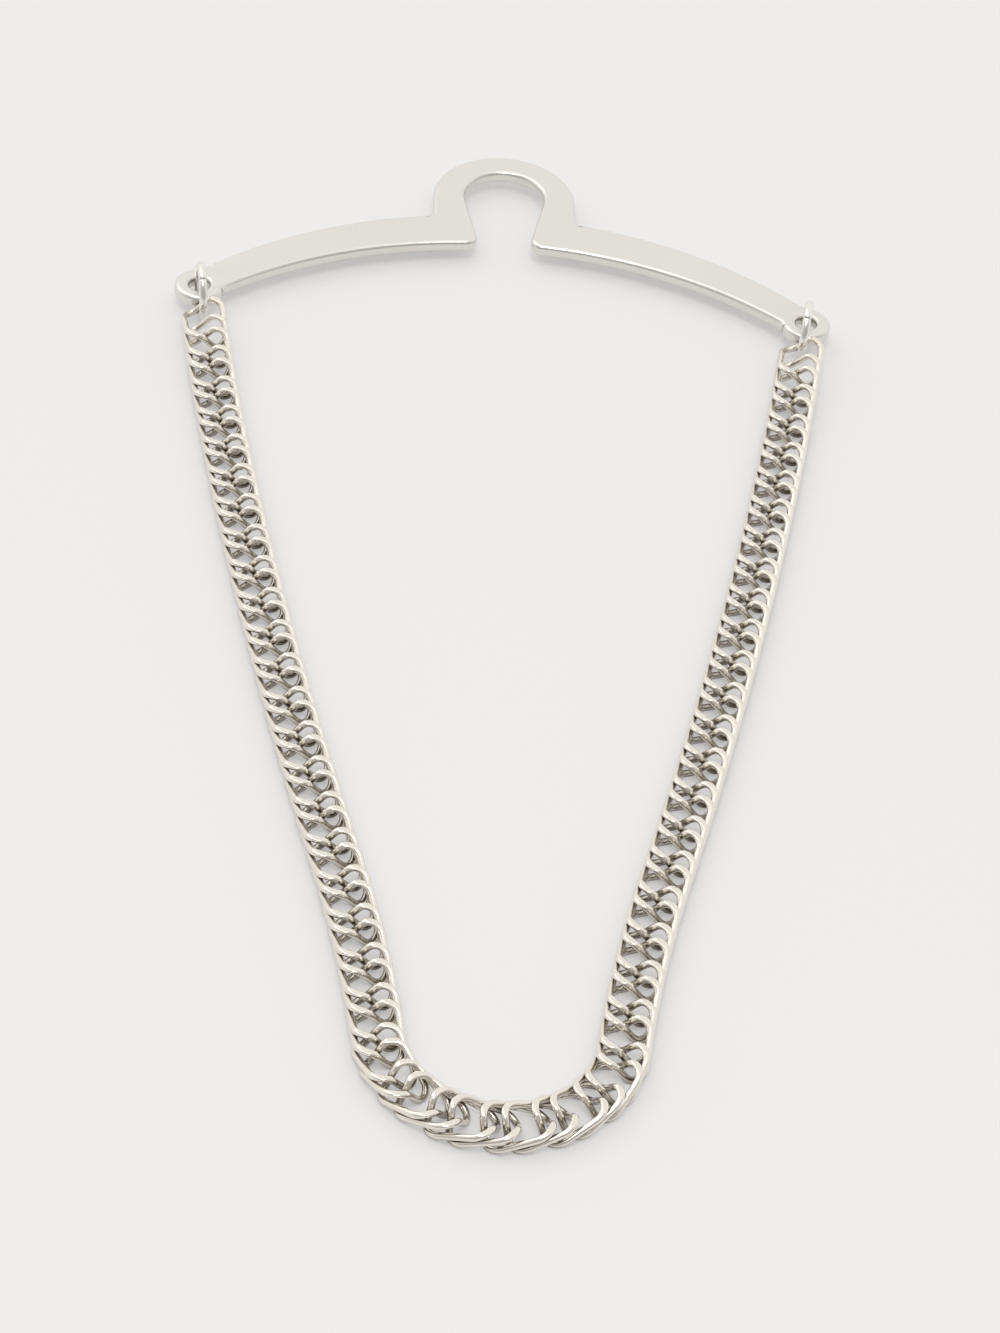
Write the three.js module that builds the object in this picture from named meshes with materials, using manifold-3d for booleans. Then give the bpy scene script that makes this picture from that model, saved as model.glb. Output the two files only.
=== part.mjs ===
// Tie chain: a stamped button bar, two jump rings and a flat double curb chain.
// Millimetres, +Z up. It lies on a surface, with the bar at the back (+Y) and the chain in front (-Y).
import * as THREE from 'three';
import { mergeVertices } from 'three/addons/utils/BufferGeometryUtils.js';
import Module from 'manifold-3d';

// Button bar
const EYE_SPACING = 57; // between the centres of the two eyes
const EYE_WALL = 1.35; // metal round the hole of an eye
const BAR_THICKNESS = 1.25;
const BAR_EDGE_ROUND = 0.25;
const ARM_RADIUS = 41; // both edges of the arms
const ARM_DEPTH = 4.6; // from front edge to back edge, along Y
const LOOP_WIDTH = 13.8; // outside
const LOOP_RISE = 9.7; // top of the loop above the arms' back edge
const LOOP_BAND = 2.7; // metal at the top of the loop
const LOOP_OPENING = 7.7; // inside, at its widest
const THROAT_WIDTH = 5.2; // where a button goes in
const TIP_ROUND = 1.15;
const LOOP_ROOT_FILLET = 0.5;
const EYE_NECK_FILLET = 0.6;
const EYE_SHOULDER_FILLET = 2.5;

// Jump rings
const JUMP_WIRE = 0.8;

// Double curb chain: soldered wire rings, bent like saddles, lying in pairs and ground flat on both faces
const LINK_WIRE = 0.6;
const LINK_WIDTH = 4.2; // over the wire
const LINK_END_FLAT = 1; // straight part across each end of a ring, between its corners
const LINK_CREST = 0.24; // how much the crests of a ring lean towards its ends
const LINK_GRIND = 0.13; // ground off the crests
const PAIR_PITCH = 4.1; // along the chain, from one pair of rings to the next
const PAIRS_PER_SIDE = 24; // after the single ring at the end of the chain
const RUN_ANGLE_AT_EYE = 8.9; // degrees from straight down
const RUN_ANGLE_AT_TURN = 8.3;
const KNEE_TO_TURN = 18; // from where the run leans in the most
const TURN_RADIUS = 9.4; // centre line of the bottom turn
const LANDING_LENGTH = 12; // over which the chain comes down from the ring to the surface

// Clearances
const EYE_HOLE_PLAY = 1.1; // eye hole over the jump ring wire
const JUMP_BACK_GAP = 0.2; // jump ring wire to the back of the eye hole
const JUMP_PLAY = 1; // jump ring over the eye and the wire of the link
const BAR_SEAT_GAP = 0.2; // bar over the jump ring wire that it lies on
const EYE_TO_LINK_GAP = 0.2;
const JUMP_TO_LINK_GAP = 0.3;
const HOOK_GAP = 0.3; // between the ends of two rings that hook each other
const NEXT_GAP = 0.15; // between the ends of two rings that only meet
const SOLDER_DEPTH = 0.06; // how far the wires of a pair sink into each other where they touch

// Facets
const CHORD_ERROR = 0.035; // between the arcs of the bar's outline and their straight steps
const SAME_POINT = 1e-6; // points closer than this are one
const JUMP_RING_STEPS = 20;
const JUMP_WIRE_SIDES = 6;
const LINK_CORNER_STEPS = 2; // round each corner of a ring
const LINK_WIRE_SIDES = 5;
const TOUCH_STEPS = 8; // along each straight step of a ring, to find where two rings touch

const FLAT_METAL = { color: 0xdedad4, metalness: 1, roughness: 0.32 };
const RING_METAL = { color: 0xe2ded6, metalness: 1, roughness: 0.2 };
const LINK_METAL = { color: 0xdcd6c8, metalness: 1, roughness: 0.18 };

const wasm = await Module();
wasm.setup();

const { PI, sin, cos, acos, atan, atan2, sqrt, hypot } = Math;
const { degToRad, clamp } = THREE.MathUtils;
const halfSpan = EYE_SPACING / 2;
const eyeHoleRadius = (JUMP_WIRE + EYE_HOLE_PLAY) / 2;
const eyeRadius = eyeHoleRadius + EYE_WALL;

/** Root of a rising function between low and high. */
function solve(rising, low, high) {
  for (let step = 0; step < 60; step++) {
    const middle = (low + high) / 2;
    if (rising(middle) < 0) low = middle;
    else high = middle;
  }
  return (low + high) / 2;
}

function metalMesh(name, geometry, look) {
  const mesh = new THREE.Mesh(geometry, new THREE.MeshStandardMaterial(look));
  mesh.name = name;
  return mesh;
}

// Button bar outline, with the eyes on y = 0 and the loop on x = 0

const circle = (x, y, radius) => ({ x, y, radius });

/** Where two circles meet: the crossing on the left of the way from one centre to the other. */
function crossing(one, other) {
  const dx = other.x - one.x;
  const dy = other.y - one.y;
  const apart = hypot(dx, dy);
  const along = (apart ** 2 + one.radius ** 2 - other.radius ** 2) / (2 * apart);
  const aside = sqrt(one.radius ** 2 - along ** 2);
  return {
    x: one.x + (along * dx - aside * dy) / apart,
    y: one.y + (along * dy + aside * dx) / apart,
  };
}

const grown = (c, by) => circle(c.x, c.y, c.radius + by);
const bearing = (from, to) => atan2(to.y - from.y, to.x - from.x);

/** Points along a row of arcs, once each where one arc ends and the next begins. */
function arcPoints(arcs) {
  const points = arcs.flatMap(({ on, start, end, clockwise }) => {
    const arc = new THREE.EllipseCurve(on.x, on.y, on.radius, on.radius, start, end, clockwise);
    const sweep = arc.getLength() / on.radius;
    return arc.getPoints(Math.ceil(sweep / (2 * acos(1 - CHORD_ERROR / on.radius))));
  });
  return points.filter((point, index) => point.distanceTo(points.at(index - 1)) > SAME_POINT);
}

function barOutline() {
  const armsCentre = -sqrt(ARM_RADIUS ** 2 - halfSpan ** 2);
  const back = circle(0, armsCentre + ARM_DEPTH / 2, ARM_RADIUS);
  const front = circle(0, armsCentre - ARM_DEPTH / 2, ARM_RADIUS);
  const eye = circle(halfSpan, 0, eyeRadius);

  const loopTop = back.y + back.radius + LOOP_RISE;
  const loop = circle(0, loopTop - LOOP_WIDTH / 2, LOOP_WIDTH / 2);
  const opening = circle(0, loopTop - LOOP_BAND - LOOP_OPENING / 2, LOOP_OPENING / 2);

  const tipX = THROAT_WIDTH / 2 + TIP_ROUND;
  const tipY = front.y + sqrt((front.radius + TIP_ROUND) ** 2 - tipX ** 2);
  const tip = circle(tipX, tipY, TIP_ROUND);

  // The side of the keyhole touches the opening on one side and the tip on the other
  const tipAway = hypot(tip.x - opening.x, tip.y - opening.y);
  const sideNormal = bearing(opening, tip) + acos((opening.radius + tip.radius) / tipAway);

  const neckAt = crossing(grown(front, -EYE_NECK_FILLET), grown(eye, EYE_NECK_FILLET));
  const neck = circle(neckAt.x, neckAt.y, EYE_NECK_FILLET);
  const shoulderAt = crossing(grown(back, EYE_SHOULDER_FILLET), grown(eye, EYE_SHOULDER_FILLET));
  const shoulder = circle(shoulderAt.x, shoulderAt.y, EYE_SHOULDER_FILLET);

  const rootX = LOOP_WIDTH / 2 + LOOP_ROOT_FILLET;
  const rootY = back.y + sqrt((back.radius + LOOP_ROOT_FILLET) ** 2 - rootX ** 2);
  const root = circle(rootX, rootY, LOOP_ROOT_FILLET);

  // The right half, anticlockwise from the throat to the top of the loop
  const right = [
    { on: tip, start: sideNormal + PI, end: bearing(tip, front), clockwise: false },
    { on: front, start: bearing(front, tip), end: bearing(front, neck), clockwise: true },
    { on: neck, start: bearing(front, neck), end: bearing(neck, eye), clockwise: true },
    { on: eye, start: bearing(eye, neck), end: bearing(eye, shoulder), clockwise: false },
    { on: shoulder, start: bearing(shoulder, eye), end: bearing(shoulder, back), clockwise: true },
    { on: back, start: bearing(back, shoulder), end: bearing(back, root), clockwise: false },
    { on: root, start: bearing(root, back), end: PI, clockwise: true },
    { on: loop, start: 0, end: PI / 2, clockwise: false },
  ];
  const left = right.toReversed().map(({ on, start, end, clockwise }) => ({
    on: circle(-on.x, on.y, on.radius),
    start: PI - end,
    end: PI - start,
    clockwise,
  }));
  const keyhole = { on: opening, start: PI - sideNormal, end: sideNormal, clockwise: true };

  const outline = new THREE.Shape(arcPoints([...right, ...left, keyhole]));
  for (const x of [-halfSpan, halfSpan]) {
    const hole = { on: circle(x, 0, eyeHoleRadius), start: 0, end: 2 * PI, clockwise: true };
    outline.holes.push(new THREE.Path(arcPoints([hole])));
  }
  return outline;
}

// Jump rings stand on edge, in line with the chain: through the back of the eye hole and round the front

const leanAtEye = degToRad(RUN_ANGLE_AT_EYE);
const jumpInnerRadius = (eyeRadius + LINK_WIRE + JUMP_PLAY) / 2;
const jumpRadius = jumpInnerRadius + JUMP_WIRE / 2;
const jumpHeight = jumpRadius + JUMP_WIRE / 2;
const wireBehindEye = EYE_HOLE_PLAY / 2 - JUMP_BACK_GAP;

/** How far in front of the eye's centre a ring's own centre is, for a bar lying at a height. */
function jumpReach(bottom) {
  const above = jumpHeight - bottom - BAR_THICKNESS / 2;
  return sqrt(jumpRadius ** 2 - above ** 2) - wireBehindEye;
}

// The bar lies on the rings with the lower edge of each eye hole
const barBottom = solve((bottom) => {
  const edgeReach = eyeHoleRadius + BAR_EDGE_ROUND - jumpReach(bottom);
  return jumpInnerRadius - BAR_SEAT_GAP - hypot(edgeReach, jumpHeight - bottom);
}, 0, jumpHeight);
const jumpForward = jumpReach(barBottom);

function jumpRing(side) {
  const geometry = new THREE.TorusGeometry(jumpRadius, JUMP_WIRE / 2, JUMP_WIRE_SIDES, JUMP_RING_STEPS);
  const mesh = metalMesh(`jump_ring_${side}`, geometry, RING_METAL);
  const inward = side === 'left' ? 1 : -1;
  mesh.rotation.set(0, PI / 2, inward * leanAtEye, 'ZYX');
  mesh.position.x = inward * (jumpForward * sin(leanAtEye) - halfSpan);
  mesh.position.y = -jumpForward * cos(leanAtEye);
  mesh.position.z = jumpHeight;
  return mesh;
}

function buttonBar() {
  const geometry = new THREE.ExtrudeGeometry(barOutline(), {
    depth: BAR_THICKNESS - 2 * BAR_EDGE_ROUND,
    bevelSize: BAR_EDGE_ROUND,
    bevelOffset: -BAR_EDGE_ROUND,
    bevelThickness: BAR_EDGE_ROUND,
    bevelSegments: 1,
  });
  const mesh = metalMesh('button_bar', geometry, FLAT_METAL);
  mesh.position.z = barBottom + BAR_EDGE_ROUND;
  return mesh;
}

// One ring of the chain lies along X before it is placed: a rounded oblong from above, two crests a face

const halfWidth = (LINK_WIDTH - LINK_WIRE) / 2;
const halfLength = (PAIR_PITCH + LINK_WIRE + HOOK_GAP) / 2;
const linkCorner = halfWidth - LINK_END_FLAT / 2;
const pairStep = 2 * halfLength + LINK_WIRE + NEXT_GAP - PAIR_PITCH;

/** The stations of a ring's centre line from above, each with the angle of its outward side. */
function ringStations() {
  const stations = [];
  for (const corner of [0, 1, 2, 3]) {
    const start = (corner * PI) / 2;
    const x = (halfLength - linkCorner) * Math.sign(cos(start + PI / 4));
    const y = (halfWidth - linkCorner) * Math.sign(sin(start + PI / 4));
    for (let step = 0; step <= LINK_CORNER_STEPS; step++) {
      const out = start + (PI * step) / (2 * LINK_CORNER_STEPS);
      stations.push({ out, x: x + linkCorner * cos(out), y: y + linkCorner * sin(out) });
    }
  }
  return stations;
}

const stations = ringStations();

/** Centre line of a ring whose wire rises and falls by a given height. */
function ringPath(rise) {
  return stations.map(({ x, y }) => {
    const around = atan2(y / halfWidth, x / halfLength);
    return new THREE.Vector3(x, y, -rise * (sin(2 * around) + LINK_CREST * sin(4 * around)));
  });
}

/** How far apart the centre lines of the two rings of a pair are where they come closest. */
function pairApart(rise) {
  const path = ringPath(rise);
  const points = path.flatMap((here, index) => {
    const next = path[(index + 1) % path.length];
    return Array.from({ length: TOUCH_STEPS }, (_, step) => here.clone().lerp(next, step / TOUCH_STEPS));
  });
  const step = new THREE.Vector3(pairStep, 0, 0);
  const apart = points.map((point) => {
    const across = point.clone().add(step);
    return Math.min(...points.map((other) => other.distanceTo(across)));
  });
  return Math.min(...apart);
}

// The rings rise as much as it takes for the two of a pair to touch
const linkRise = solve((rise) => pairApart(rise) - (LINK_WIRE - SOLDER_DEPTH), 0, LINK_WIDTH);

function wireVertices() {
  const path = ringPath(linkRise);
  return path.flatMap((centre, index) => {
    const along = path[(index + 1) % path.length].clone().sub(path.at(index - 1));
    const out = new THREE.Vector3(cos(stations[index].out), sin(stations[index].out), 0);
    const up = out.clone().cross(along).normalize();
    return Array.from({ length: LINK_WIRE_SIDES }, (_, side) => {
      const around = PI / 2 + (2 * PI * side) / LINK_WIRE_SIDES;
      const vertex = centre.clone();
      vertex.addScaledVector(out, (LINK_WIRE / 2) * cos(around));
      return vertex.addScaledVector(up, (LINK_WIRE / 2) * sin(around));
    });
  });
}

const unground = wireVertices();
const linkDrop = Math.max(...unground.map(({ z }) => z)) - LINK_GRIND;
const linkPoints = unground.map(({ x, y, z }) => new THREE.Vector3(x, y, clamp(z, -linkDrop, linkDrop)));

/** The two triangles of each facet of a closed wire. */
function wireTriangles(rings, sides) {
  const corner = (ring, side) => (ring % rings) * sides + (side % sides);
  const triangles = [];
  for (let ring = 0; ring < rings; ring++) {
    for (let side = 0; side < sides; side++) {
      const [a, b] = [corner(ring, side), corner(ring + 1, side)];
      const [c, d] = [corner(ring + 1, side + 1), corner(ring, side + 1)];
      triangles.push(a, b, c, a, c, d);
    }
  }
  return triangles;
}

const linkTriangles = wireTriangles(stations.length, LINK_WIRE_SIDES);

function linkSolid(placement) {
  const placed = linkPoints.map((point) => point.clone().applyMatrix4(placement).toArray()).flat();
  return new wasm.Manifold(new wasm.Mesh({
    numProp: 3,
    vertProperties: new Float32Array(placed),
    triVerts: new Uint32Array(linkTriangles),
  }));
}

function solidGeometry(solid) {
  const { vertProperties, triVerts } = solid.getMesh();
  const geometry = new THREE.BufferGeometry();
  geometry.setAttribute('position', new THREE.BufferAttribute(vertProperties, 3));
  geometry.setIndex(new THREE.BufferAttribute(triVerts, 1));
  return mergeVertices(geometry);
}

// The chain's centre line, from the left eye to the middle of the bottom turn

const firstEnd = eyeRadius + LINK_WIRE / 2 + EYE_TO_LINK_GAP;
const firstEndReach = jumpInnerRadius - LINK_WIRE / 2 - JUMP_TO_LINK_GAP;
const firstEndZ = jumpHeight - sqrt(firstEndReach ** 2 - (firstEnd - jumpForward) ** 2);

const leanAtTurn = degToRad(RUN_ANGLE_AT_TURN);
const endLinkAt = firstEnd + halfLength;
const pairAt = (number) => endLinkAt - pairStep / 2 + number * PAIR_PITCH;
const chainEnd = pairAt(PAIRS_PER_SIDE) + PAIR_PITCH / 2;
const turnAt = chainEnd - TURN_RADIUS * (PI / 2 - leanAtTurn);
const kneeAt = turnAt - KNEE_TO_TURN;

/** Mean sine of a lean that changes evenly between two angles. */
const meanSine = (from, to) => (from === to ? sin(from) : (cos(from) - cos(to)) / (to - from));

// The run leans in at the knee as much as it takes to meet the other half at x = 0
const leanAtKnee = solve((lean) => {
  const run = kneeAt * meanSine(leanAtEye, lean) + KNEE_TO_TURN * meanSine(lean, leanAtTurn);
  return run + TURN_RADIUS * cos(leanAtTurn) - halfSpan;
}, 0, PI / 2);

const stretches = [
  { from: 0, to: kneeAt, lean: leanAtEye, endLean: leanAtKnee },
  { from: kneeAt, to: turnAt, lean: leanAtKnee, endLean: leanAtTurn },
  { from: turnAt, to: chainEnd, lean: leanAtTurn, endLean: PI / 2 },
];

/** Where the centre line is, and how far it leans from straight down, a given way along it. */
function centreLine(way) {
  let [x, y, leanThere] = [-halfSpan, 0, leanAtEye];
  for (const { from, to, lean, endLean } of stretches) {
    const length = Math.min(way, to) - from;
    if (length <= 0) break;
    leanThere = lean + ((endLean - lean) * length) / (to - from);
    x += length * meanSine(lean, leanThere);
    y -= length * meanSine(PI / 2 - leanThere, PI / 2 - lean);
  }
  return { x, y, lean: leanThere };
}

/** Height of the centre line: it comes down from the jump ring, then lies flat. */
function lineHeight(way) {
  const t = clamp((way - firstEnd) / LANDING_LENGTH, 0, 1);
  return linkDrop + (firstEndZ - linkDrop) * (1 - t) ** 2 * (1 + 2 * t);
}

/** Height of a ring and its slope: both its ends are on the centre line. */
function landing(way) {
  const start = lineHeight(way - halfLength);
  const end = lineHeight(way + halfLength);
  return { z: (start + end) / 2, fall: atan((start - end) / (2 * halfLength)) };
}

/** Place of a ring on the left half of the chain, or of its mirror place on the right half. */
function linkPlacement(way, mirrored) {
  const { x, y, lean } = centreLine(way);
  const { z, fall } = landing(way);
  const heading = mirrored ? -PI / 2 - lean : lean - PI / 2;
  const turned = new THREE.Euler(0, fall, heading, 'ZYX');
  return new THREE.Matrix4().makeRotationFromEuler(turned).setPosition(mirrored ? -x : x, y, z);
}

function endLink(side) {
  const solid = linkSolid(linkPlacement(endLinkAt, side === 'right'));
  return metalMesh(`end_link_${side}`, solidGeometry(solid), LINK_METAL);
}

function doubleLink(side, number) {
  const [first, second] = [-pairStep / 2, pairStep / 2].map((step) =>
    linkSolid(linkPlacement(pairAt(number) + step, side === 'right')));
  const name = `double_link_${side}_${String(number).padStart(2, '0')}`;
  return metalMesh(name, solidGeometry(first.add(second)), LINK_METAL);
}

function chainHalf(side) {
  const half = new THREE.Group();
  half.add(jumpRing(side), endLink(side));
  for (let number = 1; number <= PAIRS_PER_SIDE; number++) {
    half.add(doubleLink(side, number));
  }
  return half;
}

// The origin is under the middle of the whole piece, on the surface that it lies on

const assembly = new THREE.Group();
assembly.add(buttonBar(), chainHalf('left'), chainHalf('right'));
const box = new THREE.Box3().setFromObject(assembly, true);
const middle = box.getCenter(new THREE.Vector3());
assembly.position.set(-middle.x, -middle.y, -box.min.z);

const tieChain = new THREE.Group();
tieChain.name = 'tie_chain';
tieChain.add(assembly);

export default tieChain;
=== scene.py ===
"""Tie chain: a stamped button bar, two jump rings and a flat double curb chain, lying on a pale floor.

Metres, +Z up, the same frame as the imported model: bar at the back (+Y), chain towards the front (-Y).
"""
from math import acos, atan, atan2, ceil, cos, hypot, pi, radians, sin, sqrt

import bmesh
import bpy
from mathutils import Matrix, Vector
from mathutils.geometry import tessellate_polygon


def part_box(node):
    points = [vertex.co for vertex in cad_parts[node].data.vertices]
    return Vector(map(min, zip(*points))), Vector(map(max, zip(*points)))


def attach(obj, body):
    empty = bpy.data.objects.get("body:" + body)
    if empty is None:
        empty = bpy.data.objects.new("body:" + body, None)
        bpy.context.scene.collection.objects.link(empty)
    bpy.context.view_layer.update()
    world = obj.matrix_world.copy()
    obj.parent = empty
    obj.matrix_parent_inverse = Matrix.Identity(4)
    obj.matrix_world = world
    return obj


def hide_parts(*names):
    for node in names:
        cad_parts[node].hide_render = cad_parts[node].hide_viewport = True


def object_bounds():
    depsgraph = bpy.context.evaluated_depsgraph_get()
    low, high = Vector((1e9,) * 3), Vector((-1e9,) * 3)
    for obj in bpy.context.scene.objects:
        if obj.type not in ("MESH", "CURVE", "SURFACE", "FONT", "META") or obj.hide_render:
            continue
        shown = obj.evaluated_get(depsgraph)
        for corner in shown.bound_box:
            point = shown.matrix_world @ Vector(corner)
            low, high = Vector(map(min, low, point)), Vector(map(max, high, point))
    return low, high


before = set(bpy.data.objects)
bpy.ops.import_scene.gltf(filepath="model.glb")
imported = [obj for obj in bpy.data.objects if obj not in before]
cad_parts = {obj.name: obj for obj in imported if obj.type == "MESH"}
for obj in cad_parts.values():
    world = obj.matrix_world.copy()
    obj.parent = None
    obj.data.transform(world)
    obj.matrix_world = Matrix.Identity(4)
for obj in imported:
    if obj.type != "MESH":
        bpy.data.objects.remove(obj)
cad_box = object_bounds()

MM = 0.001

# Button bar
EYE_SPACING = 57 * MM
EYE_WALL = 1.35 * MM
BAR_EDGE_ROUND = 0.4 * MM
ARM_RADIUS = 41 * MM
ARM_DEPTH = 4.6 * MM
LOOP_WIDTH = 13.8 * MM
LOOP_RISE = 9.7 * MM
LOOP_BAND = 2.7 * MM
LOOP_OPENING = 7.7 * MM
THROAT_WIDTH = 5.2 * MM
TIP_ROUND = 1.15 * MM
LOOP_ROOT_FILLET = 0.5 * MM
EYE_NECK_FILLET = 1.2 * MM
EYE_SHOULDER_FILLET = 2.5 * MM

# Jump rings
JUMP_WIRE = 0.8 * MM
JUMP_SLIT = 0.06 * MM  # between the cut ends of the wire
JUMP_SLIT_ANGLE = radians(62)  # round the ring from its front, over the top
JUMP_END_ROUND = 0.06 * MM

# Chain
LINK_WIRE = 0.6 * MM
TURN_RELIEF = 0.03 * MM  # taken off the wire in the bottom turn, where the rings swing closest
LINK_WIDTH = 4.2 * MM
LINK_END_FLAT = 1 * MM
LINK_RISE = 0.76 * MM  # of a ring's centre line
LINK_CREST = 0.24  # how much the crests of a ring lean towards its ends
PAIR_PITCH = 4.1 * MM
PAIRS_PER_SIDE = 24
RUN_ANGLE_AT_EYE = radians(8.9)
RUN_ANGLE_AT_TURN = radians(8.3)
KNEE_TO_TURN = 18 * MM
TURN_RADIUS = 9.4 * MM
LANDING_LENGTH = 12 * MM

# Clearances
EYE_HOLE_PLAY = 1.1 * MM
JUMP_PLAY = 1 * MM
EYE_TO_LINK_GAP = 0.2 * MM
JUMP_TO_LINK_GAP = 0.3 * MM
HOOK_GAP = 0.3 * MM
NEXT_GAP = 0.15 * MM

# Steps and tolerances of the smooth surfaces
CHORD_ERROR = 0.0015 * MM
EDGE_ROUND_STEPS = 5
JUMP_RING_STEPS = 96
JUMP_WIRE_SIDES = 28
LINK_CORNER_STEPS = 9
LINK_STRAIGHT_STEPS = 5
LINK_WIRE_SIDES = 16
SAME_POINT = 1e-9
SOLVE_STEPS = 60

# Camera: how the photograph looks at the piece
CAMERA_TARGET = Vector((-0.108, -9.264, 0.063)) * MM
CAMERA_DISTANCE = 292.8 * MM
CAMERA_AZIMUTH = radians(4.116)
CAMERA_ELEVATION = radians(43.12)
CAMERA_ROLL = radians(6.19)
PHOTO_HEIGHT_PX = 1333
FOCAL_LENGTH_PX = 3479
SENSOR_MM = 36
CAMERA_CLIP = 10 * MM

# Looks: colours are in linear light, and a pair goes from low to high
BAR_TINTS = (0.765, 0.742, 0.703), (0.82, 0.797, 0.762)
RING_TINTS = (0.84, 0.82, 0.78), (0.88, 0.86, 0.83)
CHAIN_TINTS = (0.83, 0.785, 0.71), (0.87, 0.83, 0.76)
# Painted shade: the wires' colour goes towards these dark tints where other metal lies close, standing in
# for the shade there
RING_PAINTED_SHADE_TINT = (0.5, 0.48, 0.43)
CHAIN_PAINTED_SHADE_TINT = (0.125, 0.10, 0.068)
PAINTED_SHADE_REACH = 1.5 * MM  # painted shade: metal nearer than this darkens the wire's colour
PAINTED_SHADE_SPAN = 0.2, 0.75  # occlusion span over which the colour goes from the painted shade tint to the open tint
BAR_ROUGHNESS = 0.27, 0.33
WIRE_ROUGHNESS = 0.13, 0.22
NOISE_SPAN = 0.3, 0.7  # holds most values of a noise texture
FLOOR_TINTS = (0.80, 0.792, 0.795), (0.81, 0.802, 0.805)
FLOOR_GLOW = (0.863, 0.847, 0.839)
FLOOR_LIFT = 0.4  # share of the glow where the floor is seen
FLOOR_ROUGHNESS = 0.9
FLOOR_SHINE = 0.1
FLOOR_SIZE = 4000 * MM
FLOOR_DROP = 0.01 * MM  # below the wire that lies on it

# Light: a room whose strength changes with the direction looked in, and two lamps
ROOM_TINT = (1, 0.99, 0.97)
ROOM_DEPTH = (-0.85, 0.3), (0.45, 0.95)  # Y of a direction, and the strength there
ROOM_CEILING = (0.84, 0.97), (0, 0.15)  # Z of a direction, and the strength added there
WINDOW_PLACE = Vector((-0.5, 0.45, 0.8))  # metres, as Blender takes them
WINDOW_SIZE = 700 * MM
WINDOW_WATTS = 1
SOFTBOX_PLACE = Vector((-0.05, -0.25, 0.75))
SOFTBOX_SIZE = 300 * MM
SOFTBOX_WATTS = 1.4

half_span = EYE_SPACING / 2
eye_hole_radius = (JUMP_WIRE + EYE_HOLE_PLAY) / 2
eye_radius = eye_hole_radius + EYE_WALL
bar_low, bar_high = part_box("button_bar")


def solve(rising, low, high):
    """Root of a rising function between low and high."""
    for _ in range(SOLVE_STEPS):
        middle = (low + high) / 2
        if rising(middle) < 0:
            low = middle
        else:
            high = middle
    return (low + high) / 2


# Button bar outline, with the eyes on y = 0 and the loop on x = 0


class Circle:
    def __init__(self, x, y, radius):
        self.x = x
        self.y = y
        self.radius = radius

    def grown(self, by):
        return Circle(self.x, self.y, self.radius + by)

    def mirrored(self):
        return Circle(-self.x, self.y, self.radius)

    def bearing(self, other):
        return atan2(other.y - self.y, other.x - self.x)


def crossing(one, other, radius):
    """A circle of a radius where two circles meet, left of the way from one centre to the other."""
    dx = other.x - one.x
    dy = other.y - one.y
    apart = hypot(dx, dy)
    along = (apart**2 + one.radius**2 - other.radius**2) / (2 * apart)
    aside = sqrt(one.radius**2 - along**2)
    x = one.x + (along * dx - aside * dy) / apart
    y = one.y + (along * dy + aside * dx) / apart
    return Circle(x, y, radius)


def arc_points(circle, start, end, turn):
    """Points along an arc, with the edge's normal there. A turn of 1 goes anticlockwise, -1 clockwise."""
    sweep = (turn * (end - start)) % (2 * pi) or 2 * pi
    steps = ceil(sweep / (2 * acos(1 - CHORD_ERROR / circle.radius)))
    for step in range(steps + 1):
        angle = start + turn * sweep * step / steps
        out = Vector((cos(angle), sin(angle)))
        yield Vector((circle.x, circle.y)) + circle.radius * out, turn * out


def bar_edges():
    """The outer edge of the bar and the edges of its two holes, as (point, normal) lists."""
    arms_centre = -sqrt(ARM_RADIUS**2 - half_span**2)
    back = Circle(0, arms_centre + ARM_DEPTH / 2, ARM_RADIUS)
    front = Circle(0, arms_centre - ARM_DEPTH / 2, ARM_RADIUS)
    eye = Circle(half_span, 0, eye_radius)

    loop_top = back.y + back.radius + LOOP_RISE
    loop = Circle(0, loop_top - LOOP_WIDTH / 2, LOOP_WIDTH / 2)
    opening = Circle(0, loop_top - LOOP_BAND - LOOP_OPENING / 2, LOOP_OPENING / 2)

    tip_x = THROAT_WIDTH / 2 + TIP_ROUND
    tip = Circle(tip_x, front.y + sqrt((front.radius + TIP_ROUND) ** 2 - tip_x**2), TIP_ROUND)
    tip_away = hypot(tip.x - opening.x, tip.y - opening.y)
    side_normal = opening.bearing(tip) + acos((opening.radius + tip.radius) / tip_away)

    neck = crossing(front.grown(-EYE_NECK_FILLET), eye.grown(EYE_NECK_FILLET), EYE_NECK_FILLET)
    round_back, round_eye = back.grown(EYE_SHOULDER_FILLET), eye.grown(EYE_SHOULDER_FILLET)
    shoulder = crossing(round_back, round_eye, EYE_SHOULDER_FILLET)
    root_x = LOOP_WIDTH / 2 + LOOP_ROOT_FILLET
    root_y = back.y + sqrt((back.radius + LOOP_ROOT_FILLET) ** 2 - root_x**2)
    root = Circle(root_x, root_y, LOOP_ROOT_FILLET)

    right = [
        (tip, side_normal + pi, tip.bearing(front), 1),
        (front, front.bearing(tip), front.bearing(neck), -1),
        (neck, front.bearing(neck), neck.bearing(eye), -1),
        (eye, eye.bearing(neck), eye.bearing(shoulder), 1),
        (shoulder, shoulder.bearing(eye), shoulder.bearing(back), -1),
        (back, back.bearing(shoulder), back.bearing(root), 1),
        (root, root.bearing(back), pi, -1),
        (loop, 0, pi / 2, 1),
    ]
    left = [(circle.mirrored(), pi - end, pi - start, turn) for circle, start, end, turn in reversed(right)]
    keyhole = [(opening, pi - side_normal, side_normal, -1)]
    edges = [right + left + keyhole]
    for x in (-half_span, half_span):
        edges.append([(Circle(x, 0, eye_hole_radius), 0, 2 * pi, -1)])
    return [edge_points(arcs) for arcs in edges]


def edge_points(arcs):
    """The points of a row of arcs, once each where one arc ends and the next begins."""
    pairs = [pair for arc in arcs for pair in arc_points(*arc)]
    apart = [(pair[0] - before[0]).length for before, pair in zip(pairs[-1:] + pairs, pairs)]
    return [pair for pair, gap in zip(pairs, apart) if gap > SAME_POINT]


# The jump rings' place: through the back of the eye hole and round the front of the eye

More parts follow.
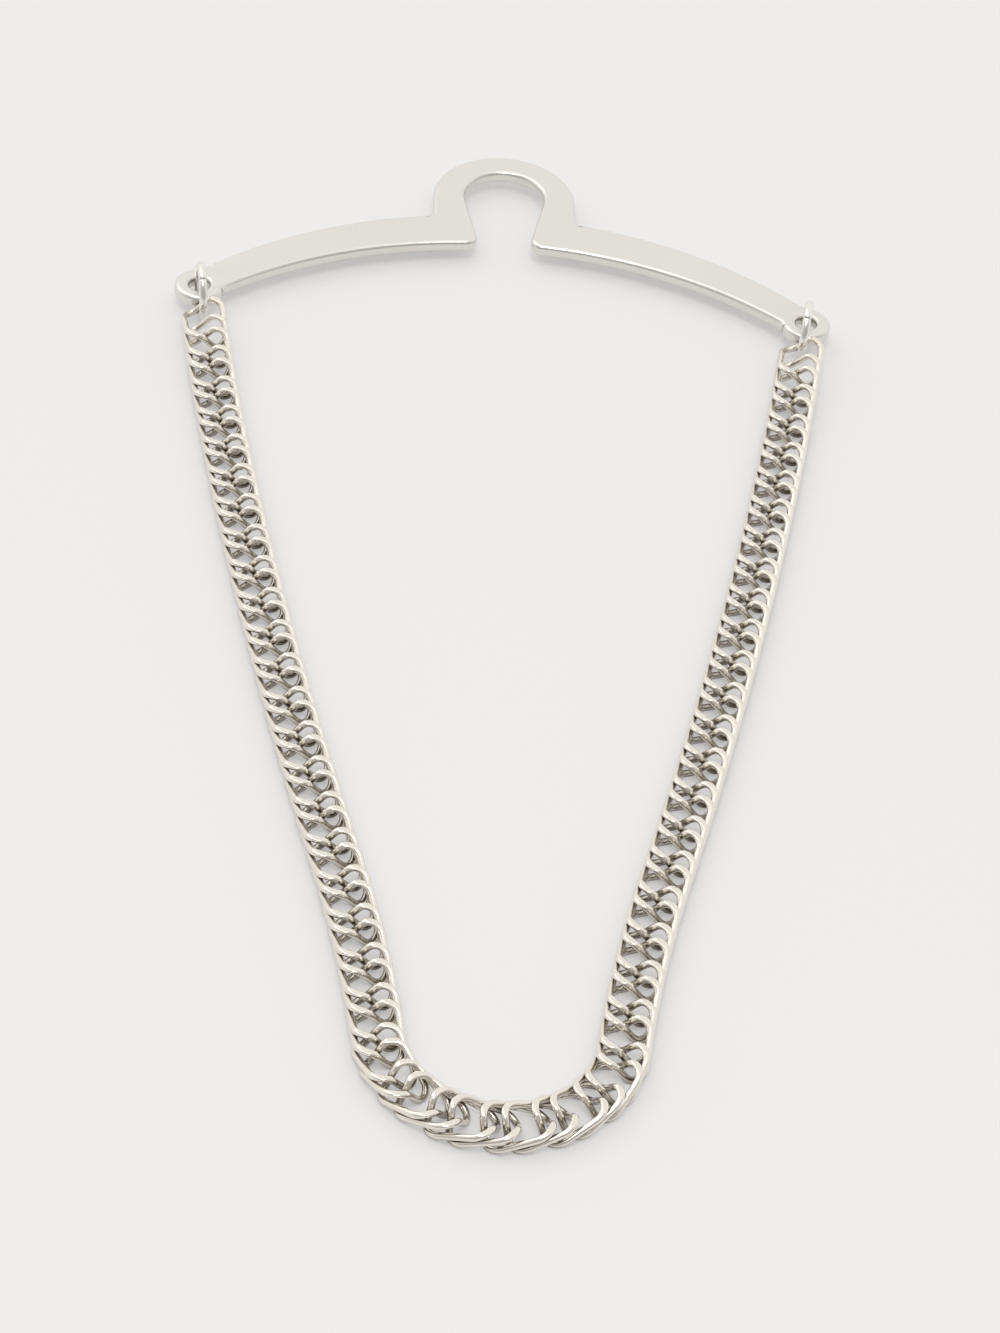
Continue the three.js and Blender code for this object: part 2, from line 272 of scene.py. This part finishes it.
jump_inner_radius = (eye_radius + LINK_WIRE + JUMP_PLAY) / 2
jump_radius = jump_inner_radius + JUMP_WIRE / 2
jump_low, jump_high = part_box("jump_ring_left")
jump_centre = (jump_low + jump_high) / 2

# The eyes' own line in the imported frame: the loop's top is the back of the bar
edges = bar_edges()
eye_line = bar_high.y - max(point.y for point, _ in edges[0])
bar_middle = (bar_low.z + bar_high.z) / 2

# One ring of the chain lies along X before it is placed: a rounded oblong from above, bent like a saddle

half_width = (LINK_WIDTH - LINK_WIRE) / 2
half_length = (PAIR_PITCH + LINK_WIRE + HOOK_GAP) / 2
corner_radius = half_width - LINK_END_FLAT / 2
pair_step = 2 * half_length + LINK_WIRE + NEXT_GAP - PAIR_PITCH

# The ground faces, above and below the middle of a ring that lies flat
flat_low, flat_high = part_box("double_link_left_12")
link_drop = (flat_high.z - flat_low.z) / 2


def ring_path():
    """A ring's centre line from above, each corner with a straight after it, and the way out of it."""
    corners = [(1, 1), (-1, 1), (-1, -1), (1, -1)]
    for index, (right, far) in enumerate(corners):
        middle = Vector((right * (half_length - corner_radius), far * (half_width - corner_radius), 0))
        for step in range(LINK_CORNER_STEPS):
            angle = (index + step / LINK_CORNER_STEPS) * pi / 2
            out = Vector((cos(angle), sin(angle), 0))
            yield middle + corner_radius * out, out
        out = Vector((cos((index + 1) * pi / 2), sin((index + 1) * pi / 2), 0))
        straight = (half_length if index % 2 == 0 else half_width) - corner_radius
        along = Vector((-out.y, out.x, 0))
        for step in range(LINK_STRAIGHT_STEPS):
            yield middle + corner_radius * out + along * 2 * straight * step / LINK_STRAIGHT_STEPS, out


def ring_points(wire):
    """The wire's surface, section by section, ground flat above and below."""
    path = list(ring_path())
    for centre, _ in path:
        around = atan2(centre.y / half_width, centre.x / half_length)
        centre.z = -LINK_RISE * (sin(2 * around) + LINK_CREST * sin(4 * around))
    sections = []
    for index, (centre, out) in enumerate(path):
        along = path[(index + 1) % len(path)][0] - path[index - 1][0]
        up = out.cross(along).normalized()
        section = []
        for side in range(LINK_WIRE_SIDES):
            around = 2 * pi * side / LINK_WIRE_SIDES
            point = centre + (out * cos(around) + up * sin(around)) * wire / 2
            point.z = min(max(point.z, -link_drop), link_drop)
            section.append(point)
        sections.append(section)
    return sections


ring_sections = ring_points(LINK_WIRE)
turn_ring_sections = ring_points(LINK_WIRE - TURN_RELIEF)

# The chain's centre line, from the left eye to the middle of the bottom turn

first_end = eye_radius + LINK_WIRE / 2 + EYE_TO_LINK_GAP
first_end_reach = jump_inner_radius - LINK_WIRE / 2 - JUMP_TO_LINK_GAP
jump_forward = (eye_line - jump_centre.y) / cos(RUN_ANGLE_AT_EYE)
first_end_z = jump_centre.z - sqrt(first_end_reach**2 - (first_end - jump_forward) ** 2)

end_link_at = first_end + half_length


def pair_at(number):
    return end_link_at - pair_step / 2 + number * PAIR_PITCH


chain_end = pair_at(PAIRS_PER_SIDE) + PAIR_PITCH / 2
turn_at = chain_end - TURN_RADIUS * (pi / 2 - RUN_ANGLE_AT_TURN)
knee_at = turn_at - KNEE_TO_TURN


def mean_sine(start, end):
    """Mean sine of a lean that changes evenly between two angles."""
    return sin(start) if start == end else (cos(start) - cos(end)) / (end - start)


def run_width(lean):
    run = knee_at * mean_sine(RUN_ANGLE_AT_EYE, lean) + KNEE_TO_TURN * mean_sine(lean, RUN_ANGLE_AT_TURN)
    return run + TURN_RADIUS * cos(RUN_ANGLE_AT_TURN) - half_span


lean_at_knee = solve(run_width, 0, pi / 2)
stretches = [
    (0, knee_at, RUN_ANGLE_AT_EYE, lean_at_knee),
    (knee_at, turn_at, lean_at_knee, RUN_ANGLE_AT_TURN),
    (turn_at, chain_end, RUN_ANGLE_AT_TURN, pi / 2),
]


def centre_line(way):
    """Where the centre line is, and how far it leans from straight down, a given way along it."""
    x, y, lean_there = -half_span, eye_line, RUN_ANGLE_AT_EYE
    for start, end, lean, end_lean in stretches:
        length = min(way, end) - start
        if length <= 0:
            break
        lean_there = lean + (end_lean - lean) * length / (end - start)
        x += length * mean_sine(lean, lean_there)
        y -= length * mean_sine(pi / 2 - lean_there, pi / 2 - lean)
    return x, y, lean_there


flat_height = (flat_low.z + flat_high.z) / 2


def line_height(way):
    """Height of the centre line: it comes down from the jump ring, then lies flat."""
    share = min(max((way - first_end) / LANDING_LENGTH, 0), 1)
    return flat_height + (first_end_z - flat_height) * (1 - share) ** 2 * (1 + 2 * share)


def landing(way):
    """Height of a ring and its slope: both its ends are on the centre line."""
    start = line_height(way - half_length)
    end = line_height(way + half_length)
    return (start + end) / 2, atan((start - end) / (2 * half_length))


def link_placement(way, side):
    x, y, lean = centre_line(way)
    z, fall = landing(way)
    heading = lean - pi / 2 if side == "left" else -pi / 2 - lean
    place = Vector((x if side == "left" else -x, y, z))
    turn = Matrix.Rotation(heading, 4, "Z") @ Matrix.Rotation(fall, 4, "Y")
    return Matrix.Translation(place) @ turn


# Meshes


def add_tube(mesh, sections, closed):
    """Skins a row of sections, each a ring of points, and closes the ends of an open row."""
    rows = [[mesh.verts.new(point) for point in section] for section in sections]
    sides = len(rows[0])
    spans = len(rows) if closed else len(rows) - 1
    for index in range(spans):
        here, there = rows[index], rows[(index + 1) % len(rows)]
        for side in range(sides):
            after = (side + 1) % sides
            mesh.faces.new((here[side], there[side], there[after], here[after]))
    if not closed:
        mesh.faces.new(list(reversed(rows[-1])))
        mesh.faces.new(rows[0])


def finished_piece(name, mesh, material, node):
    """Turns a bmesh into a smooth piece that stands for a CAD node and rides on its body."""
    bmesh.ops.recalc_face_normals(mesh, faces=mesh.faces)
    for face in mesh.faces:
        face.smooth = True
    data = bpy.data.meshes.new(name)
    mesh.to_mesh(data)
    mesh.free()
    data.materials.append(material)
    piece = bpy.data.objects.new(name, data)
    bpy.context.scene.collection.objects.link(piece)
    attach(piece, node)
    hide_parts(node)
    return piece


def make_bar(material):
    """The outline carried round a section with rounded corners, then filled at top and bottom."""
    half = (bar_high.z - bar_low.z) / 2
    section = []
    for step in range(2 * EDGE_ROUND_STEPS + 2):
        upper = step > EDGE_ROUND_STEPS
        angle = (step - upper) / EDGE_ROUND_STEPS * pi / 2 - pi / 2
        rise = (half - BAR_EDGE_ROUND) * (1 if upper else -1) + BAR_EDGE_ROUND * sin(angle)
        section.append((BAR_EDGE_ROUND * (1 - cos(angle)), rise))
    mesh = bmesh.new()
    low_rim, high_rim, rim_plans = [], [], []
    for edge in edges:
        rows = []
        for inset, rise in section:
            at = [point - normal * inset for point, normal in edge]
            rows.append([mesh.verts.new((p.x, eye_line + p.y, bar_middle + rise)) for p in at])
        for row, above in zip(rows, rows[1:]):
            for index in range(len(row)):
                mesh.faces.new((row[index - 1], row[index], above[index], above[index - 1]))
        low_rim += rows[0]
        high_rim += rows[-1]
        rim_plans.append([vert.co / MM for vert in rows[-1]])
    for corners in tessellate_polygon(rim_plans):
        mesh.faces.new([high_rim[corner] for corner in corners])
        mesh.faces.new([low_rim[corner] for corner in reversed(corners)])
    piece = finished_piece("bar", mesh, material, "button_bar")
    flat = piece.modifiers.new("flat_faces", "WEIGHTED_NORMAL")
    flat.keep_sharp = True
    return piece


def make_jump_ring(side, material):
    """A ring of round wire, cut through once, with its cut ends slightly rounded."""
    slit = JUMP_SLIT / jump_radius
    end_turn = JUMP_END_ROUND / jump_radius
    stops = [(slit / 2, JUMP_END_ROUND), (slit / 2 + end_turn, 0)]
    inner = 2 * pi - 2 * (slit / 2 + end_turn)
    stops += [(slit / 2 + end_turn + inner * s / JUMP_RING_STEPS, 0) for s in range(1, JUMP_RING_STEPS)]
    stops += [(2 * pi - slit / 2 - end_turn, 0), (2 * pi - slit / 2, JUMP_END_ROUND)]
    sections = []
    for angle, inset in stops:
        out = Vector((0, -cos(angle + JUMP_SLIT_ANGLE), sin(angle + JUMP_SLIT_ANGLE)))
        section = []
        for step in range(JUMP_WIRE_SIDES):
            around = 2 * pi * step / JUMP_WIRE_SIDES
            across = out * cos(around) + Vector((sin(around), 0, 0))
            section.append(jump_radius * out + (JUMP_WIRE / 2 - inset) * across)
        sections.append(section)
    inward = 1 if side == "left" else -1
    centre = Vector((inward * jump_centre.x, jump_centre.y, jump_centre.z))
    place = Matrix.Translation(centre) @ Matrix.Rotation(inward * RUN_ANGLE_AT_EYE, 4, "Z")
    mesh = bmesh.new()
    add_tube(mesh, [[place @ point for point in section] for section in sections], closed=False)
    return finished_piece(f"ring_{side}", mesh, material, f"jump_ring_{side}")


def held_in_box(point):
    """A point of the smooth wire, held inside the box of the faceted solids."""
    return Vector([min(max(value, low), high) for value, low, high in zip(point, *cad_box)])


def make_links(name, node, side, ways, material):
    """The rings of one body of the chain."""
    mesh = bmesh.new()
    for way in ways:
        place = link_placement(way, side)
        plain_ring = turn_ring_sections if way > turn_at else ring_sections
        sections = [[held_in_box(place @ point) for point in section] for section in plain_ring]
        add_tube(mesh, sections, closed=True)
    return finished_piece(name, mesh, material, node)


def make_chain(material):
    for side in ("left", "right"):
        make_links(f"end_ring_{side}", f"end_link_{side}", side, [end_link_at], material)
        for number in range(1, PAIRS_PER_SIDE + 1):
            ways = [pair_at(number) - pair_step / 2, pair_at(number) + pair_step / 2]
            ending = f"{side}_{number:02d}"
            make_links(f"rings_{ending}", f"double_link_{ending}", side, ways, material)


# Materials


class Nodes:
    """Adds and joins the nodes of one material."""

    def __init__(self, name):
        self.material = bpy.data.materials.new(name)
        self.material.use_nodes = True
        self.tree = self.material.node_tree
        self.shader = self.tree.nodes["Principled BSDF"]
        self.place = self.add("ShaderNodeTexCoord").outputs["Object"]

    def add(self, kind, **settings):
        node = self.tree.nodes.new(kind)
        for key, value in settings.items():
            setattr(node, key, value)
        return node

    def join(self, output, socket):
        self.tree.links.new(output, socket)

    def noise(self, scale, detail, stretch=(1, 1, 1)):
        mapping = self.add("ShaderNodeMapping")
        mapping.inputs["Scale"].default_value = stretch
        self.join(self.place, mapping.inputs["Vector"])
        noise = self.add("ShaderNodeTexNoise")
        noise.inputs["Scale"].default_value = scale
        noise.inputs["Detail"].default_value = detail
        self.join(mapping.outputs["Vector"], noise.inputs["Vector"])
        return noise.outputs["Fac"]

    def spread(self, value, span, result=(0, 1)):
        """A value that goes through a span, spread between two results."""
        node = self.add("ShaderNodeMapRange")
        node.inputs["From Min"].default_value, node.inputs["From Max"].default_value = span
        node.inputs["To Min"].default_value, node.inputs["To Max"].default_value = result
        self.join(value, node.inputs["Value"])
        return node.outputs["Result"]

    def blend(self, factor, low, high):
        """A colour between two colours."""
        node = self.add("ShaderNodeMix", data_type="RGBA")
        node.inputs["A"].default_value = (*low, 1)
        node.inputs["B"].default_value = (*high, 1)
        self.join(factor, node.inputs["Factor"])
        return node.outputs["Result"]

    def bump(self, height, distance, strength, normal=None):
        node = self.add("ShaderNodeBump")
        node.inputs["Distance"].default_value = distance
        node.inputs["Strength"].default_value = strength
        self.join(height, node.inputs["Height"])
        if normal:
            self.join(normal, node.inputs["Normal"])
        return node.outputs["Normal"]


def bar_metal():
    """Satin plate: cloudy tint, fine drawn lines along the bar and a trace of hammered unevenness."""
    nodes = Nodes("bar_metal")
    shader = nodes.shader.inputs
    shader["Metallic"].default_value = 1
    cloud = nodes.noise(scale=90, detail=3)
    lines = nodes.noise(scale=900, detail=4, stretch=(0.08, 1, 1))
    grain = nodes.noise(scale=9000, detail=2)
    nodes.join(nodes.blend(cloud, *BAR_TINTS), shader["Base Color"])
    nodes.join(nodes.spread(lines, NOISE_SPAN, BAR_ROUGHNESS), shader["Roughness"])
    uneven = nodes.bump(cloud, distance=0.05 * MM, strength=0.25)
    drawn = nodes.bump(lines, distance=0.004 * MM, strength=0.2, normal=uneven)
    grained = nodes.bump(grain, distance=0.0015 * MM, strength=0.3, normal=drawn)
    nodes.join(grained, shader["Normal"])
    return nodes.material


def wire_metal(name, tints, painted_shade_tint):
    """Polished plate on wire with a cloudy tint, and painted shade: its colour darkens where the wires lie
    close together.
    """
    nodes = Nodes(name)
    shader = nodes.shader.inputs
    shader["Metallic"].default_value = 1
    cloud = nodes.noise(scale=350, detail=3)
    scratches = nodes.noise(scale=5000, detail=3)
    # painted shade: ambient occlusion darkens the colour where other metal lies close
    occlusion = nodes.add("ShaderNodeAmbientOcclusion", samples=8)
    occlusion.inputs["Distance"].default_value = PAINTED_SHADE_REACH
    tint = nodes.blend(cloud, *tints)
    shade = nodes.add("ShaderNodeMix", data_type="RGBA")
    shade.inputs["A"].default_value = (*painted_shade_tint, 1)
    openness = nodes.spread(occlusion.outputs["AO"], PAINTED_SHADE_SPAN)
    nodes.join(openness, shade.inputs["Factor"])
    nodes.join(tint, shade.inputs["B"])
    nodes.join(shade.outputs["Result"], shader["Base Color"])
    nodes.join(nodes.spread(scratches, NOISE_SPAN, WIRE_ROUGHNESS), shader["Roughness"])
    nodes.join(nodes.bump(scratches, distance=0.002 * MM, strength=0.25), shader["Normal"])
    return nodes.material


def floor_paper():
    """Smooth pale paper, lifted towards its own colour where it is seen, so that its shadows stay light."""
    nodes = Nodes("floor_paper")
    shader = nodes.shader.inputs
    shader["Roughness"].default_value = FLOOR_ROUGHNESS
    shader["Specular IOR Level"].default_value = FLOOR_SHINE
    cloud = nodes.noise(scale=6, detail=2)
    nodes.join(nodes.blend(cloud, *FLOOR_TINTS), shader["Base Color"])
    rays = nodes.add("ShaderNodeLightPath").outputs
    seen = rays["Is Camera Ray"]
    for other in ("Is Glossy Ray", "Is Transmission Ray"):
        either = nodes.add("ShaderNodeMath", operation="MAXIMUM")
        nodes.join(seen, either.inputs[0])
        nodes.join(rays[other], either.inputs[1])
        seen = either.outputs["Value"]
    share = nodes.add("ShaderNodeMath", operation="MULTIPLY")
    nodes.join(seen, share.inputs[0])
    share.inputs[1].default_value = FLOOR_LIFT
    glow = nodes.add("ShaderNodeEmission")
    glow.inputs["Color"].default_value = (*FLOOR_GLOW, 1)
    mixed = nodes.add("ShaderNodeMixShader")
    nodes.join(share.outputs["Value"], mixed.inputs["Fac"])
    nodes.join(nodes.shader.outputs["BSDF"], mixed.inputs[1])
    nodes.join(glow.outputs["Emission"], mixed.inputs[2])
    nodes.join(mixed.outputs["Shader"], nodes.tree.nodes["Material Output"].inputs["Surface"])
    return nodes.material


# Floor, light and camera


def make_floor():
    mesh = bmesh.new()
    bmesh.ops.create_grid(mesh, x_segments=1, y_segments=1, size=FLOOR_SIZE / 2)
    data = bpy.data.meshes.new("floor")
    mesh.to_mesh(data)
    mesh.free()
    data.materials.append(floor_paper())
    floor = bpy.data.objects.new("floor", data)
    floor.location.z = -FLOOR_DROP
    bpy.context.scene.collection.objects.link(floor)


def world_ramp(tree, value, span, light):
    """Light that changes smoothly while a value goes through a span."""
    ramp = tree.nodes.new("ShaderNodeMapRange")
    ramp.interpolation_type = "SMOOTHSTEP"
    ramp.inputs["From Min"].default_value, ramp.inputs["From Max"].default_value = span
    ramp.inputs["To Min"].default_value, ramp.inputs["To Max"].default_value = light
    tree.links.new(value, ramp.inputs["Value"])
    return ramp.outputs["Result"]


def make_world():
    """A pale room: brightest overhead, bright behind the piece and dimmer on the viewer's side."""
    world = bpy.data.worlds.new("room")
    bpy.context.scene.world = world
    world.use_nodes = True
    tree = world.node_tree
    place = tree.nodes.new("ShaderNodeTexCoord")
    split = tree.nodes.new("ShaderNodeSeparateXYZ")
    tree.links.new(place.outputs["Generated"], split.inputs["Vector"])
    sides = world_ramp(tree, split.outputs["Y"], *ROOM_DEPTH)
    overhead = world_ramp(tree, split.outputs["Z"], *ROOM_CEILING)
    both = tree.nodes.new("ShaderNodeMath")
    tree.links.new(sides, both.inputs[0])
    tree.links.new(overhead, both.inputs[1])
    tree.links.new(both.outputs["Value"], tree.nodes["Background"].inputs["Strength"])
    tree.nodes["Background"].inputs["Color"].default_value = (*ROOM_TINT, 1)


def make_lamp(name, place, size, watts):
    """A square soft light that faces the middle of the piece."""
    data = bpy.data.lights.new(name, "AREA")
    data.size = size
    data.energy = watts
    lamp = bpy.data.objects.new(name, data)
    lamp.location = place
    lamp.rotation_euler = (-place).to_track_quat("-Z", "Y").to_euler()
    bpy.context.scene.collection.objects.link(lamp)


def make_camera():
    ahead, down = cos(CAMERA_ELEVATION), sin(CAMERA_ELEVATION)
    forward = Vector((sin(CAMERA_AZIMUTH) * ahead, cos(CAMERA_AZIMUTH) * ahead, -down))
    level = Vector((cos(CAMERA_AZIMUTH), -sin(CAMERA_AZIMUTH), 0))
    upright = level.cross(forward)
    right = level * cos(CAMERA_ROLL) + upright * sin(CAMERA_ROLL)
    up = upright * cos(CAMERA_ROLL) - level * sin(CAMERA_ROLL)
    data = bpy.data.cameras.new("camera")
    data.sensor_fit = "VERTICAL"
    data.sensor_height = SENSOR_MM
    data.lens = SENSOR_MM * FOCAL_LENGTH_PX / PHOTO_HEIGHT_PX
    data.clip_start = CAMERA_CLIP
    camera = bpy.data.objects.new("camera", data)
    turn = Matrix((right, up, -forward)).transposed().to_4x4()
    camera.matrix_world = Matrix.Translation(CAMERA_TARGET - forward * CAMERA_DISTANCE) @ turn
    bpy.context.scene.collection.objects.link(camera)
    bpy.context.scene.camera = camera


make_camera()
make_floor()
make_world()
make_lamp("window", WINDOW_PLACE, WINDOW_SIZE, WINDOW_WATTS)
make_lamp("softbox", SOFTBOX_PLACE, SOFTBOX_SIZE, SOFTBOX_WATTS)
bpy.context.scene.view_settings.view_transform = "Standard"

make_bar(bar_metal())
ring_metal = wire_metal("ring_metal", RING_TINTS, RING_PAINTED_SHADE_TINT)
for side in ("left", "right"):
    make_jump_ring(side, ring_metal)
make_chain(wire_metal("chain_metal", CHAIN_TINTS, CHAIN_PAINTED_SHADE_TINT))
